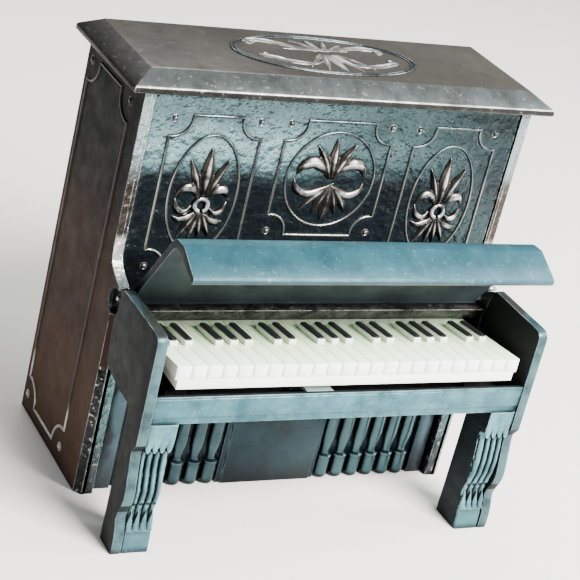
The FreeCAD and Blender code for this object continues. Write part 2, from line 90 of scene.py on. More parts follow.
def smooth_line(points, per=8, closed=False):
    """Points along a Catmull-Rom curve through the given ones."""
    pts = [Vector(p) for p in points]
    count = len(pts)
    out = []
    spans = count if closed else count - 1
    for i in range(spans):
        before = pts[(i - 1) % count] if closed or i > 0 else 2 * pts[0] - pts[1]
        a, b = pts[i], pts[(i + 1) % count]
        after = pts[(i + 2) % count] if closed or i + 2 < count else 2 * b - a
        for k in range(per):
            t = k / per
            out.append(0.5 * ((2 * a) + (b - before) * t
                              + (2 * before - 5 * a + 4 * b - after) * t * t
                              + (3 * a - before - 3 * b + after) * t ** 3))
    if not closed:
        out.append(pts[-1])
    return out


def arc(centre, radius, start, end, steps=12):
    """Points on a circle between two angles in degrees."""
    out = []
    for k in range(steps + 1):
        a = math.radians(start + (end - start) * k / steps)
        out.append(Vector((centre[0] + radius * math.cos(a), centre[1] + radius * math.sin(a))))
    return out


def lookup(table, at):
    """Smoothly interpolated value from a short table of (position, value)."""
    if at <= table[0][0]:
        return table[0][1]
    for (p0, v0), (p1, v1) in zip(table[:-1], table[1:]):
        if at <= p1:
            t = (at - p0) / (p1 - p0)
            t = t * t * (3 - 2 * t)
            return v0 + (v1 - v0) * t
    return table[-1][1]


def evaluated(obj):
    """Replaces an object's mesh by the result of its modifiers."""
    bpy.context.view_layer.update()
    graph = bpy.context.evaluated_depsgraph_get()
    result = bpy.data.meshes.new_from_object(obj.evaluated_get(graph), depsgraph=graph)
    result.name = obj.name
    old = obj.data
    obj.modifiers.clear()
    obj.data = result
    bpy.data.meshes.remove(old)


def soft_shading(mesh, angle):
    """Smooth shading, with edges sharper than the angle left crisp."""
    for polygon in mesh.polygons:
        polygon.use_smooth = True
    mesh.set_sharp_from_angle(angle=math.radians(angle))


# ---- tests of a face's normal, for the accents ----


def not_sideways(normal):
    return abs(normal.x) < 0.6


def sideways(normal):
    return abs(normal.x) > 0.95


def overhangs(normal):
    return normal.z < -0.35 and abs(normal.x) < 0.6


def front_edge(normal):
    return abs(normal.x) < 0.6 and normal.y < 0.3


def faces_front(normal):
    return normal.y < -0.2


def front_band(normal):
    return normal.y < -0.9


def front_rim(normal):
    return -0.9 < normal.y < -0.6 and normal.z > 0.3


def faces_aside(normal):
    return abs(normal.x) > 0.3


def faces_up(normal):
    return normal.z > 0.85


def looks_down(normal):
    return normal.z < 0.05 or abs(normal.x) > 0.6


# ---- pieces ----


def add_piece(name, shell, material, body="case", stands_for=(), bevel=0.0, fuse=0.0,
              polish=2, segments=2, accents=()):
    """Makes one piece in metres of a shell in millimetres. bevel rounds its edges, fuse melts its
    parts into one casting, and accents are (material, test of the normal) for faces that differ."""
    mesh = bpy.data.meshes.new(name)
    mesh.from_pydata([tuple(v) for v in shell.verts], [], shell.faces)
    mesh.validate()
    piece = bpy.data.objects.new(name, mesh)
    bpy.context.scene.collection.objects.link(piece)
    work = bmesh.new()
    work.from_mesh(mesh)
    bmesh.ops.remove_doubles(work, verts=work.verts, dist=1e-5)
    bmesh.ops.recalc_face_normals(work, faces=work.faces)
    work.to_mesh(mesh)
    work.free()
    if fuse:
        remesh = piece.modifiers.new("fuse", "REMESH")
        remesh.mode = "VOXEL"
        remesh.voxel_size = fuse
        relax = piece.modifiers.new("relax", "SMOOTH")
        relax.factor = 0.5
        relax.iterations = polish
        evaluated(piece)
    if bevel:
        rounding = piece.modifiers.new("rounding", "BEVEL")
        rounding.width = bevel
        rounding.segments = segments
        rounding.limit_method = "ANGLE"
        rounding.angle_limit = math.radians(32)
        rounding.use_clamp_overlap = True
        evaluated(piece)
    piece.data.transform(Matrix.Scale(MM, 4))
    soft_shading(piece.data, 70 if fuse else 38)
    piece.data.materials.clear()
    piece.data.materials.append(material)
    for number, (other, test) in enumerate(accents, 1):
        piece.data.materials.append(other)
        for polygon in piece.data.polygons:
            if test(polygon.normal):
                polygon.material_index = number
    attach(piece, body)
    if stands_for:
        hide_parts(*stands_for)
    return piece


class Shell:
    """Collects the points and faces of one piece."""

    def __init__(self):
        self.verts = []
        self.faces = []

    def add(self, verts, faces):
        start = len(self.verts)
        self.verts += [Vector(v) for v in verts]
        self.faces += [[i + start for i in face] for face in faces]

    def prism(self, outline, x0, x1):
        """Outline in (y, z), carried from x0 to x1."""
        count = len(outline)
        verts = [(x, p[0], p[1]) for x in (x0, x1) for p in outline]
        faces = [list(range(count))[::-1], list(range(count, 2 * count))]
        faces += [[i, (i + 1) % count, count + (i + 1) % count, count + i] for i in range(count)]
        self.add(verts, faces)

    def holed_prism(self, outline, hole, x0, x1):
        """A prism with one hole, its caps in triangles."""
        rings = [[Vector((p[0], p[1], 0)) for p in line] for line in (outline, hole)]
        flat = rings[0] + rings[1]
        total = len(flat)
        triangles = geometry.tessellate_polygon(rings)
        verts = [(x, p[0], p[1]) for x in (x0, x1) for p in flat]
        faces = [list(t) for t in triangles] + [[i + total for i in reversed(t)] for t in triangles]
        first = len(outline)
        for low, high in ((0, first), (first, total)):
            size = high - low
            for i in range(size):
                a, b = low + i, low + (i + 1) % size
                faces.append([a, b, total + b, total + a])
        self.add(verts, faces)

    def box(self, x0, x1, y0, y1, z0, z1):
        self.prism([(y0, z0), (y1, z0), (y1, z1), (y0, z1)], x0, x1)

    def rings(self, loops, closed_caps=True):
        """Skin over equal rings of points, capped at both ends."""
        size = len(loops[0])
        verts = [v for loop in loops for v in loop]
        faces = []
        for j in range(len(loops) - 1):
            for i in range(size):
                a, b = j * size + i, j * size + (i + 1) % size
                faces.append([a, b, b + size, a + size])
        if closed_caps:
            faces.append(list(range(size))[::-1])
            faces.append(list(range((len(loops) - 1) * size, len(loops) * size)))
        self.add(verts, faces)

    def turned(self, foot, axis, profile, steps=24, sweep=360):
        """Turned shape: profile of (radius, height) about an axis from its foot."""
        axis = Vector(axis)
        side = axis.orthogonal().normalized()
        if abs(axis.z) > 0.9:
            side = Vector((1, 0, 0))
        loops = []
        for r, h in profile:
            r = max(r, 0.002)
            loop = []
            for k in range(steps):
                angle = math.radians(-sweep * k / (steps if sweep == 360 else steps - 1))
                loop.append(Vector(foot) + axis * h + (Matrix.Rotation(angle, 3, axis) @ side) * r)
            loops.append(loop)
        self.rings(loops)


class Face:
    """A flat face of the object, to lay relief on."""

    def __init__(self, origin, across, up, out):
        self.origin, self.across, self.up, self.out = (Vector(v) for v in (origin, across, up, out))

    def at(self, u, v, h=0.0):
        return self.origin + self.across * u + self.up * v + self.out * h


SECTIONS = {
    "round": [(math.cos(a), math.sin(a)) for a in [math.pi * k / 8 for k in range(9)]],
    "ridge": [(1, 0), (0.86, 0.34), (0.55, 0.52), (0.22, 0.82), (0, 1), (-0.22, 0.82),
              (-0.55, 0.52), (-0.86, 0.34), (-1, 0)],
    "flute": [(1, 0), (0.92, 0.8), (0.72, 1), (0.4, 0.72), (0, 0.6), (-0.4, 0.72), (-0.72, 1),
              (-0.92, 0.8), (-1, 0)],
}


def stroke(shell, face, path, width, height, section="round", closed=False, taper=None, sink=0.08):
    """Raised stroke along a path on a face. taper gives width and height factors along it."""
    path = [Vector(p) for p in path]
    count = len(path)
    shape = SECTIONS[section]
    loops = []
    for i, point in enumerate(path):
        before = path[(i - 1) % count] if closed or i > 0 else point
        after = path[(i + 1) % count] if closed or i < count - 1 else point
        along = (after - before).normalized()
        side = Vector((-along.y, along.x))
        wide, high = taper(i / (count - 1)) if taper else (1, 1)
        loop = []
        for s, h in shape:
            spot = point + side * (s * width / 2 * wide)
            loop.append(face.at(spot.x, spot.y, h * height * high))
        for s in (-1, 1):
            spot = point + side * (s * width / 2 * wide)
            loop.append(face.at(spot.x, spot.y, -sink))
        loops.append(loop)
    if closed:
        loops.append(loops[0])
        shell.rings(loops, closed_caps=False)
    else:
        shell.rings(loops)


def lance(t):
    """Leaf outline: narrow base, broad below the middle, pointed tip."""
    return (max(0.05, math.sin(math.pi * min(1, t ** 0.75)) ** 0.8),
            0.35 + 0.65 * math.sin(math.pi * t) ** 0.6)


def crescent(t):
    """Thick in the middle and fine at both ends."""
    return (max(0.08, math.sin(math.pi * t) ** 0.75), max(0.15, math.sin(math.pi * t) ** 0.6))


def leaf(shell, face, base, tip, width, height, bend=0.0):
    """Ridged leaf from its base to its tip, bent sideways in the middle."""
    base, tip = Vector(base), Vector(tip)
    along = tip - base
    side = Vector((-along.y, along.x))
    path = [base + along * t + side * (bend * math.sin(math.pi * t)) for t in
            [k / 14 for k in range(15)]]
    stroke(shell, face, path, width, height, "ridge", taper=lance)


def curl(shell, face, points, width, height):
    """Round scroll along a smooth line, fine at both ends."""
    stroke(shell, face, smooth_line(points, 8), width, height, taper=crescent)


# ---- materials ----

BORDER_WANDER = 1.6    # millimetres by which a border between two tones strays


def node(tree, kind, **settings):
    """A new node, with the values of its sockets and its own settings."""
    made = tree.nodes.new(kind)
    for key, value in settings.items():
        if key in made.inputs:
            made.inputs[key].default_value = value
        else:
            setattr(made, key, value)
    return made


def feed(tree, slot, value):
    """Gives a socket a value, or links another socket to it."""
    if isinstance(value, bpy.types.NodeSocket):
        tree.links.new(value, slot)
    else:
        slot.default_value = (*value, 1.0) if slot.type == "RGBA" else value


def grey_noise(tree, coords, scale, detail=5.0, rough=0.55, low=0.35, high=0.65):
    """Noise stretched to the full range between low and high."""
    cloud = node(tree, "ShaderNodeTexNoise", Scale=scale, Detail=detail, Roughness=rough)
    tree.links.new(coords, cloud.inputs["Vector"])
    span = node(tree, "ShaderNodeMapRange", **{"From Min": low, "From Max": high})
    tree.links.new(cloud.outputs["Fac"], span.inputs["Value"])
    return span.outputs["Result"]


def mix_colour(tree, factor, first, second):
    """Mix of two colours; each may be a colour or a socket, and so may the factor."""
    blend = node(tree, "ShaderNodeMix", data_type="RGBA")
    for place, value in ((0, factor), (6, first), (7, second)):
        feed(tree, blend.inputs[place], value)
    return blend.outputs[2]


def maths(tree, operation, first, second=0.5, clamp=False):
    step = node(tree, "ShaderNodeMath", operation=operation, use_clamp=clamp)
    for slot, value in zip(step.inputs, (first, second)):
        feed(tree, slot, value)
    return step.outputs[0]


def edge_mask(tree, radius, gain):
    """1 on worn edges, 0 on flats, from the angle between the rounded and the true normal."""
    rounded = node(tree, "ShaderNodeBevel", samples=6, Radius=radius * MM)
    true = tree.nodes.new("ShaderNodeNewGeometry")
    dot = node(tree, "ShaderNodeVectorMath", operation="DOT_PRODUCT")
    tree.links.new(rounded.outputs["Normal"], dot.inputs[0])
    tree.links.new(true.outputs["Normal"], dot.inputs[1])
    turned = maths(tree, "SUBTRACT", 1.0, dot.outputs["Value"])
    return maths(tree, "MULTIPLY", turned, gain, clamp=True)


def new_material(name):
    material = bpy.data.materials.new(name)
    material.use_nodes = True
    tree = material.node_tree
    shader = tree.nodes["Principled BSDF"]
    coords = tree.nodes.new("ShaderNodeTexCoord").outputs["Object"]
    return material, tree, shader, coords


def ramp_along(tree, coords, axis, start, end, wander=0.0):
    """0 at start and 1 at end, in millimetres along one axis, with an uneven border."""
    split = tree.nodes.new("ShaderNodeSeparateXYZ")
    tree.links.new(coords, split.inputs[0])
    place = split.outputs[axis]
    if wander:
        drift = maths(tree, "SUBTRACT", grey_noise(tree, coords, 160, 3.0), 0.5)
        place = maths(tree, "ADD", place, maths(tree, "MULTIPLY", drift, wander * MM))
    span = node(tree, "ShaderNodeMapRange", interpolation_type="SMOOTHSTEP",
                **{"From Min": start * MM, "From Max": end * MM})
    tree.links.new(place, span.inputs["Value"])
    return span.outputs["Result"]


def grime_and_shade_mask(tree, reach, power, gain):
    """Dirt and painted shade: 0 in the open and up to 1 in a hollow, felt over a reach in
    millimetres.
    """
    hollow = node(tree, "ShaderNodeAmbientOcclusion", samples=6, Distance=reach * MM)
    open_air = hollow.outputs["AO"]
    if power != 1:
        open_air = maths(tree, "POWER", open_air, power)
    return maths(tree, "MULTIPLY", maths(tree, "SUBTRACT", 1.0, open_air), gain, clamp=True)


def set_gloss(tree, shader, cloud, rough):
    """Roughness that wanders between two values with a noise."""
    gloss = node(tree, "ShaderNodeMapRange", **{"To Min": rough[0], "To Max": rough[1]})
    tree.links.new(cloud, gloss.inputs["Value"])
    tree.links.new(gloss.outputs["Result"], shader.inputs["Roughness"])


def bumps(tree, cloud, strength, depth, under=None):
    """Normal roughened by a noise, on top of another bump if there is one."""
    bump = node(tree, "ShaderNodeBump", Strength=strength, Distance=depth * MM)
    tree.links.new(cloud, bump.inputs["Height"])
    if under:
        tree.links.new(under, bump.inputs["Normal"])
    return bump.outputs["Normal"]


def cast_metal(name, dark, light, worn, patches=(180, 0.35, 0.65), wear=0.8, edge=0.25,
               rough=(0.3, 0.5), metallic=0.6, grain=(900, 0.25), dents=None, fades=(), specks=0.35,
               dirt_and_shade=0.6, rubbed_top=None, shine=0.3, glints=0.0):
    """Antiqued casting: two tones in patches, dirt and painted shade in the hollows, bright wear on
    edges.

    patches are (scale, low, high) of the two tones, grain and dents (scale, strength) of a bump.
    fades are (axis, start, end, colour) borders in millimetres, with (axis, start, end) limits
    after them if they only reach so far; on several parts they are painted light and shade.
    glints is the share of painted glints, bright flecks under the fades, and rubbed_top the
    (axis, start, end) over which raised work turns bright."""
    material, tree, shader, coords = new_material(name)
    link = tree.links.new
    broad = grey_noise(tree, coords, patches[0], 4.0, 0.6, patches[1], patches[2])
    colour = mix_colour(tree, broad, dark, light)
    # painted glints: bright flecks of the worn colour
    if glints:
        flecks = grey_noise(tree, coords, 1500, 4.0, 0.7, 0.52, 0.66)
        colour = mix_colour(tree, maths(tree, "MULTIPLY", flecks, glints), colour, worn)
    for axis, start, end, shade, *also in fades:
        toned = mix_colour(tree, maths(tree, "MULTIPLY", broad, 0.45), shade,
                           tuple(c * 0.4 for c in shade))
        reach = ramp_along(tree, coords, axis, start, end, BORDER_WANDER)
        for limit in also:
            further = ramp_along(tree, coords, *limit, BORDER_WANDER)
            reach = maths(tree, "MULTIPLY", reach, further)
        colour = mix_colour(tree, reach, colour, toned)
    # dirt and painted shade: hollows darkened towards a dark copy of the base
    grime_and_shade = grime_and_shade_mask(tree, 1.1, 1.6, dirt_and_shade * 1.6)
    colour = mix_colour(tree, grime_and_shade, colour, tuple(c * 0.2 for c in dark))
    fine = grey_noise(tree, coords, 1400, 3.0, 0.7, 0.6, 0.72)
    edges = edge_mask(tree, edge, 4.0)
    if rubbed_top:
        edges = maths(tree, "MAXIMUM", edges, ramp_along(tree, coords, *rubbed_top))
    chips = grey_noise(tree, coords, 700, 4.0, 0.65, 0.35, 0.6)
    rubbed = maths(tree, "MULTIPLY", maths(tree, "MULTIPLY", edges, chips), wear, clamp=True)
    dots = maths(tree, "MULTIPLY", fine, specks * 0.25, clamp=True)
    bare = maths(tree, "MAXIMUM", rubbed, dots)
    link(mix_colour(tree, bare, colour, worn), shader.inputs["Base Color"])
    shader.inputs["Metallic"].default_value = metallic
    shader.inputs["Specular IOR Level"].default_value = shine
    set_gloss(tree, shader, grey_noise(tree, coords, 420, 5.0, 0.6, 0.3, 0.7), rough)
    skin = bumps(tree, grey_noise(tree, coords, grain[0], 6.0, 0.65, 0.2, 0.8), grain[1], 0.06)
    if dents:
        hammered = grey_noise(tree, coords, dents[0], 3.0, 0.5, 0.3, 0.7)
        skin = bumps(tree, hammered, dents[1], 0.2, skin)
    link(skin, shader.inputs["Normal"])
    return material


def key_plastic(name, base, shade, rough, rear=None):
    """Moulded keys: greenish shade in the hollows and soft mottling. rear is the tone of their
    far ends."""
    material, tree, shader, coords = new_material(name)
    link = tree.links.new
    mottled = grey_noise(tree, coords, 260, 4.0, 0.6, 0.3, 0.7)
    if rear:
        base = mix_colour(tree, ramp_along(tree, coords, "Y", -18.5, -9.0, 1.0), base, rear)
    colour = mix_colour(tree, maths(tree, "MULTIPLY", mottled, 0.2), base, shade)
    # dirt and painted shade in the hollows, towards the shade colour
    grime_and_shade = grime_and_shade_mask(tree, 1.4, 1, 1.3)
    link(mix_colour(tree, grime_and_shade, colour, shade), shader.inputs["Base Color"])
    set_gloss(tree, shader, mottled, rough)
    skin = bumps(tree, grey_noise(tree, coords, 700, 4.0, 0.6, 0.2, 0.8), 0.12, 0.05)
    link(skin, shader.inputs["Normal"])
    return material


SILVER = (0.45, 0.47, 0.46)
PALE_TEAL = (0.20, 0.34, 0.37)
# black of painted shade
PAINTED_SHADE_BLACK = (0.016, 0.021, 0.026)

TEAL = cast_metal(
    "teal_rail", (0.018, 0.072, 0.09), (0.05, 0.145, 0.17), (0.3, 0.45, 0.46),
    patches=(350, 0.35, 0.65), wear=0.9, metallic=0.3, dirt_and_shade=1.2, grain=(700, 0.5), specks=0.7)
TEAL_LID = cast_metal(
    "teal_lid", (0.01, 0.043, 0.057), (0.02, 0.075, 0.095), (0.35, 0.5, 0.5),
    patches=(260, 0.3, 0.7), wear=0.9, rough=(0.35, 0.5), metallic=0.15, shine=0.2,
    grain=(600, 0.5), specks=0.6)
# painted shade for the lid's faces that look down or aside
SHADED_UNDERSIDE = cast_metal(
    "lid_painted_shade", (0.02, 0.026, 0.033), (0.035, 0.046, 0.057), (0.3, 0.36, 0.36), wear=0.9,
    rough=(0.35, 0.5), metallic=0.2, shine=0.2)
TEAL_LEG = cast_metal(
    "teal_leg", (0.02, 0.064, 0.078), (0.088, 0.222, 0.252), (0.45, 0.62, 0.64),
    patches=(300, 0.3, 0.6), wear=1.4, edge=0.2, rough=(0.25, 0.45), metallic=0.35, dirt_and_shade=1.5,
    grain=(700, 0.5), fades=[("Z", 5.5, 1.5, (0.045, 0.125, 0.145))])
# painted shade for faces turned aside or overhanging on the legs and cheeks, and the lid's ends
SHADED_SIDE = cast_metal(
    "painted_shade_side", (0.004, 0.007, 0.008), (0.009, 0.014, 0.016), (0.15, 0.22, 0.23), wear=0.6,
    rough=(0.4, 0.6), metallic=0.2, shine=0.08)
# painted reflection and shade: the panel is painted bright at the left and dark to the right,
# with a sharp turn above its middle, and near black lower down
PANEL_PAINTED_REFLECTION = [
    ("Z", 50.5, 56.5, (0.072, 0.122, 0.131)),
    ("X", -12.0, 6.0, (0.062, 0.108, 0.116)),
    ("X", 7.0, 27.0, (0.012, 0.022, 0.025)),
    ("X", -6.0, 9.0, (0.032, 0.058, 0.063), ("Z", 51.5, 55.0)),
    ("X", 10.0, 26.0, (0.008, 0.015, 0.017), ("Z", 51.5, 55.0)),
    ("Z", 49.6, 46.2, (0.02, 0.026, 0.032)),
    ("X", 17.0, 26.0, (0.027, 0.048, 0.053), ("Z", 48.0, 40.0))]
# painted light and shade along the front edges: dark at the foot, teal higher up, a near-white
# painted highlight at the shoulder, dark bronze above it and a pale teal-grey painted reflection at
# the top
EDGE_PAINTED_LIGHT = [
    ("Z", 3.0, 13.0, (0.08, 0.155, 0.17)),
    ("Z", 31.5, 33.5, (0.6, 0.6, 0.57)),
    ("Z", 36.4, 38.2, (0.045, 0.038, 0.032)),
    ("Z", 46.0, 50.0, (0.21, 0.27, 0.27))]

PANEL = cast_metal(
    "hammered_panel", (0.13, 0.24, 0.26), (0.22, 0.37, 0.39), SILVER, patches=(230, 0.35, 0.65),
    wear=0.9, rough=(0.16, 0.36), metallic=0.8, dents=(700, 1.0), dirt_and_shade=1.6, shine=0.4,
    glints=0.4, fades=PANEL_PAINTED_REFLECTION)
# painted shade: the lower front darkens towards the floor; its large soft patches stand in for a
# sheen
LOWER = cast_metal(
    "lower_front", (0.003, 0.007, 0.009), (0.0155, 0.042, 0.053), PALE_TEAL,
    patches=(55, 0.35, 0.65), wear=0.7, rough=(0.22, 0.4), metallic=0.4, shine=0.2,
    grain=(500, 0.15), dirt_and_shade=0.8, specks=0.1, fades=[("Z", 7.0, 0.5, (0.003, 0.006, 0.008))])
# painted shade: the corner posts are painted black at their outer edges, beside the stiles, and
# towards the floor
POST = cast_metal(
    "corner_post", (0.02, 0.045, 0.055), (0.06, 0.115, 0.135), PALE_TEAL,
    patches=(120, 0.3, 0.7), rough=(0.25, 0.4), metallic=0.4, shine=0.2,
    fades=[("X", -25.5, -26.7, PAINTED_SHADE_BLACK), ("X", 25.5, 26.7, PAINTED_SHADE_BLACK), ("Z", 9.0, 1.0, PAINTED_SHADE_BLACK)])
# painted light: the balusters are painted lighter towards +X, so the right-hand ones look lit
TURNED = cast_metal(
    "turned_teal", (0.0145, 0.029, 0.033), (0.04, 0.078, 0.088), PALE_TEAL, wear=1.0,
    rough=(0.14, 0.28), metallic=0.8, dirt_and_shade=1.4, fades=[("X", 0.0, 8.0, (0.048, 0.096, 0.108))])
# painted light and shade on the sides: lighter towards the bottom and near black towards the top
SIDE = cast_metal(
    "brown_side", (0.026, 0.014, 0.0096), (0.039, 0.0228, 0.0165), (0.4, 0.38, 0.35),
    patches=(90, 0.3, 0.7), rough=(0.45, 0.65), metallic=0.1, shine=0.04, specks=0.12,
    fades=[("Z", 24.0, 8.0, (0.064, 0.037, 0.0255)), ("Z", 31.0, 47.0, (0.004, 0.0051, 0.0059))])
EDGE = cast_metal(
    "front_edges", (0.014, 0.018, 0.02), (0.03, 0.043, 0.047), (0.7, 0.7, 0.68),
    patches=(250, 0.3, 0.7), wear=1.8, edge=0.1, rough=(0.2, 0.4), metallic=0.7, specks=1.6,
    dents=(900, 0.9), dirt_and_shade=1.2, fades=EDGE_PAINTED_LIGHT)
ROUGH = cast_metal(
    "rough_corner", (0.006, 0.007, 0.008), (0.016, 0.019, 0.021), (0.75, 0.75, 0.73),
    patches=(250, 0.3, 0.7), wear=1.6, edge=0.2, rough=(0.2, 0.4), metallic=0.5, specks=2.6,
    dents=(900, 1.0), dirt_and_shade=1.0, shine=0.2)
CORE = cast_metal(
    "inner_edges", (0.01, 0.011, 0.012), (0.022, 0.023, 0.023), SILVER, metallic=0.3, specks=0.8,
    shine=0.2)
ARM = cast_metal(
    "dark_arm", (0.0056, 0.007, 0.0073), (0.01, 0.012, 0.0125), (0.2, 0.27, 0.28),
    patches=(110, 0.3, 0.7), wear=0.5, rough=(0.45, 0.65), metallic=0.1, shine=0.08, specks=0.12)
# painted reflection: teal on the cheeks' faces that do not look aside
ARM_RIM = cast_metal(
    "teal_arm_rim", (0.014, 0.036, 0.042), (0.045, 0.095, 0.105), (0.35, 0.5, 0.52),
    patches=(380, 0.35, 0.6), wear=1.0, rough=(0.25, 0.45), metallic=0.35, dirt_and_shade=1.5,
    fades=[("Z", 32.4, 33.3, (0.026, 0.028, 0.026))])
# painted light: the top board is painted lighter towards +X
TOP = cast_metal(
    "top_board", (0.018, 0.0155, 0.0128), (0.035, 0.032, 0.0275), (0.5, 0.48, 0.45),
    patches=(140, 0.3, 0.7), wear=1.3, edge=0.35, rough=(0.35, 0.55), metallic=0.4, specks=0.25,
    shine=0.1, grain=(500, 0.6), fades=[("X", -10.0, 30.0, (0.052, 0.048, 0.042))])
# painted reflection: the top's front bevel is a lighter teal-grey than its flat, with worn specks
TOP_FRONT_FACE = cast_metal(
    "top_front", (0.039, 0.044, 0.042), (0.083, 0.097, 0.095), (0.7, 0.7, 0.67),
    patches=(300, 0.3, 0.7), wear=1.5, edge=0.3, rough=(0.25, 0.45), specks=1.0,
    grain=(500, 0.7))
TOP_RIM = cast_metal(
    "worn_rim", (0.1, 0.1, 0.095), (0.48, 0.48, 0.46), (0.8, 0.8, 0.78),
    patches=(300, 0.35, 0.6), wear=1.2, edge=0.3, rough=(0.25, 0.45), metallic=0.4, specks=1.0)
# painted shade: darker tone for the top's ends and its front band
TOP_SHADED_FACES = cast_metal(
    "top_painted_shade", (0.007, 0.007, 0.007), (0.016, 0.015, 0.014), (0.4, 0.37, 0.33),
    patches=(300, 0.3, 0.7), wear=1.0, edge=0.35, rough=(0.35, 0.55), metallic=0.3, specks=0.7,
    shine=0.08)
# painted highlight: the beads are painted lighter below the panel's dark turn
BEAD = cast_metal(
    "worn_bead", (0.035, 0.042, 0.044), (0.12, 0.145, 0.15), (0.75, 0.75, 0.72),
    patches=(500, 0.35, 0.65), wear=0.9, edge=0.12, rough=(0.15, 0.35), metallic=0.85, dirt_and_shade=1.0,
    fades=[("Z", 49.0, 46.0, (0.3, 0.28, 0.25))])
SIDE_BEAD = cast_metal(
    "dark_bead", (0.008, 0.006, 0.005), (0.026, 0.02, 0.017), (0.5, 0.48, 0.45),
    patches=(300, 0.4, 0.65), wear=0.5, edge=0.12, rough=(0.25, 0.45),
    fades=[("Z", 11.0, 7.5, (0.5, 0.49, 0.46))])
ORNAMENT = cast_metal(
    "ornament", (0.018, 0.015, 0.013), (0.075, 0.066, 0.056), (0.85, 0.84, 0.8),
    patches=(350, 0.3, 0.7), wear=1.4, edge=0.15, rough=(0.15, 0.35), metallic=0.8, dirt_and_shade=1.5,
    rubbed_top=("Y", -0.89, -1.12))
MEDALLION = cast_metal(
    "medallion", (0.055, 0.052, 0.047), (0.15, 0.145, 0.135), (0.85, 0.84, 0.81),
    patches=(350, 0.3, 0.7), wear=1.4, edge=0.15, rough=(0.2, 0.4), metallic=0.5, dirt_and_shade=0.35,
    rubbed_top=("Z", 61.9, 62.05))
RAIL = cast_metal(
    "bronze_rail", (0.012, 0.011, 0.0105), (0.078, 0.074, 0.076), (0.7, 0.7, 0.66),
    patches=(450, 0.42, 0.62), wear=1.5, edge=0.2, rough=(0.3, 0.55), metallic=0.4,
    dents=(900, 0.7), specks=1.0)
# near black for inner parts, and painted shade on the front rail's top face under the keys
INNER_AND_SHADE = cast_metal(
    "inner_metal_and_shade", (0.008, 0.008, 0.0085), (0.018, 0.018, 0.0185), (0.15, 0.15, 0.15), wear=0.4,
    rough=(0.45, 0.65), metallic=0.2, shine=0.15)
STEEL = cast_metal(
    "pin_steel", (0.25, 0.27, 0.28), (0.4, 0.42, 0.43), (0.7, 0.7, 0.7), wear=0.5,
    rough=(0.2, 0.35), metallic=0.9, dirt_and_shade=0.3)
# painted light: the clip is painted pale blue-grey, as if lit through the slot
LIT_CLIP = cast_metal(
    "clip_painted_light", (0.4, 0.55, 0.6), (0.55, 0.7, 0.74), (0.8, 0.85, 0.85), wear=0.5,
    rough=(0.3, 0.45), metallic=0.2, dirt_and_shade=0.0)
WHITE = key_plastic("key_white", (0.94, 0.98, 0.86), (0.50, 0.56, 0.44), (0.35, 0.5))
KEY_TOPS = key_plastic("key_tops", (0.84, 0.98, 0.71), (0.42, 0.55, 0.36), (0.35, 0.5),
                       rear=(0.55, 0.76, 0.46))
CAP = key_plastic("key_black", (0.007, 0.008, 0.010), (0.003, 0.003, 0.004), (0.25, 0.4))

# ---- case ----


def side_outline(notched):
    """Outline of a side in (y, z), going up the back and down the front."""
    shoulder = smooth_line([(SIDE_FRONT, 36.4), (-1.0, 35.2), (-1.6, 34.3), (-2.7, 33.6),
                            (-4.0, 33.05), (-5.0, 32.6)], 5)
    line = [Vector((SIDE_BACK, 0)), Vector((SIDE_BACK, SIDE_H)), Vector((SIDE_FRONT, SIDE_H))]
    line += shoulder + [Vector((-4.95, 32.2))]
    if notched:
        reach = math.degrees(math.acos((NOTCH_Y - LOW_FRONT) / NOTCH_R))
        line += arc((NOTCH_Y, NOTCH_Z), NOTCH_R, 180 - reach, -180 + reach, 18)
    else:
        line.append(Vector((LOW_FRONT, 31.8)))
    return line + [Vector((LOW_FRONT, 0))]


def inset(outline, distance):
    """Outline moved inwards by a small distance."""
    count = len(outline)
    area = sum(a.x * b.y - b.x * a.y for a, b in zip(outline, outline[1:] + outline[:1]))
    turn = 1 if area > 0 else -1
    out = []
    for i, point in enumerate(outline):
        a = (point - outline[i - 1]).normalized()
        b = (outline[(i + 1) % count] - point).normalized()
        normal = Vector((-a.y - b.y, a.x + b.x)) * turn
        if normal.length < 1e-6:
            normal = Vector((-a.y, a.x)) * turn
        normal.normalize()
        reach = distance / max(0.5, normal.dot(Vector((-a.y, a.x)) * turn))
        out.append(point + normal * reach)
    return out


def make_side(name, sign):
    outline = side_outline(True)
    chamfered = [Vector((max(p.x, CHAMFER_BACK), p.y)) if p.y < CHAMFER_TOP else p
                 for p in outline]
    slab = Shell()
    slab.rings([[Vector((sign * x, p.x, p.y)) for p in line] for x, line in
                ((WEB_X, outline), (CHAMFER_X, outline), (CASE_HALF - 0.06, chamfered),
                 (CASE_HALF, inset(chamfered, 0.06)))])
    add_piece(name + "_side_face", slab, SIDE, stands_for=[name + "_side"],
              accents=[(EDGE, front_edge)])
    web = Shell()
    hole = arc((HINGE_Y, HINGE_Z), BORE_R, 0, 345, 23)
    web.holed_prism(core_outline(), hole, sign * WEB_X, sign * SIDE_IN)
    add_piece(name + "_side_core", web, CORE, accents=[(EDGE, front_edge)])
    strip = Shell()
    corner = [(sign * STILE_IN, LOW_FRONT), (sign * CHAMFER_X, LOW_FRONT), (sign * 29.99, -3.82),
              (sign * 29.99, STILE_BACK), (sign * STILE_IN, STILE_BACK)]
    strip.rings([[Vector((x, y, z)) for x, y in corner] for z in (0, LOWER_TOP)])
    add_piece(name + "_stile", strip, EDGE, bevel=0.1, accents=[(ROUGH, faces_aside)])


def core_outline():
    """Inner layer of a side: like the side, with a tongue that reaches forward behind the arm."""
    line = side_outline(False)[:-2]
    tongue = [(-6.6, 32.95), (-6.1, 31.4), (-5.85, 29.9), (-5.2, 28.4), (-5.4, 25.1), (-5.65, 22.5),
              (-6.05, 21.8), (-6.0, 21.1), (LOW_FRONT, 21.1), (LOW_FRONT, 0)]
    return line + tongue


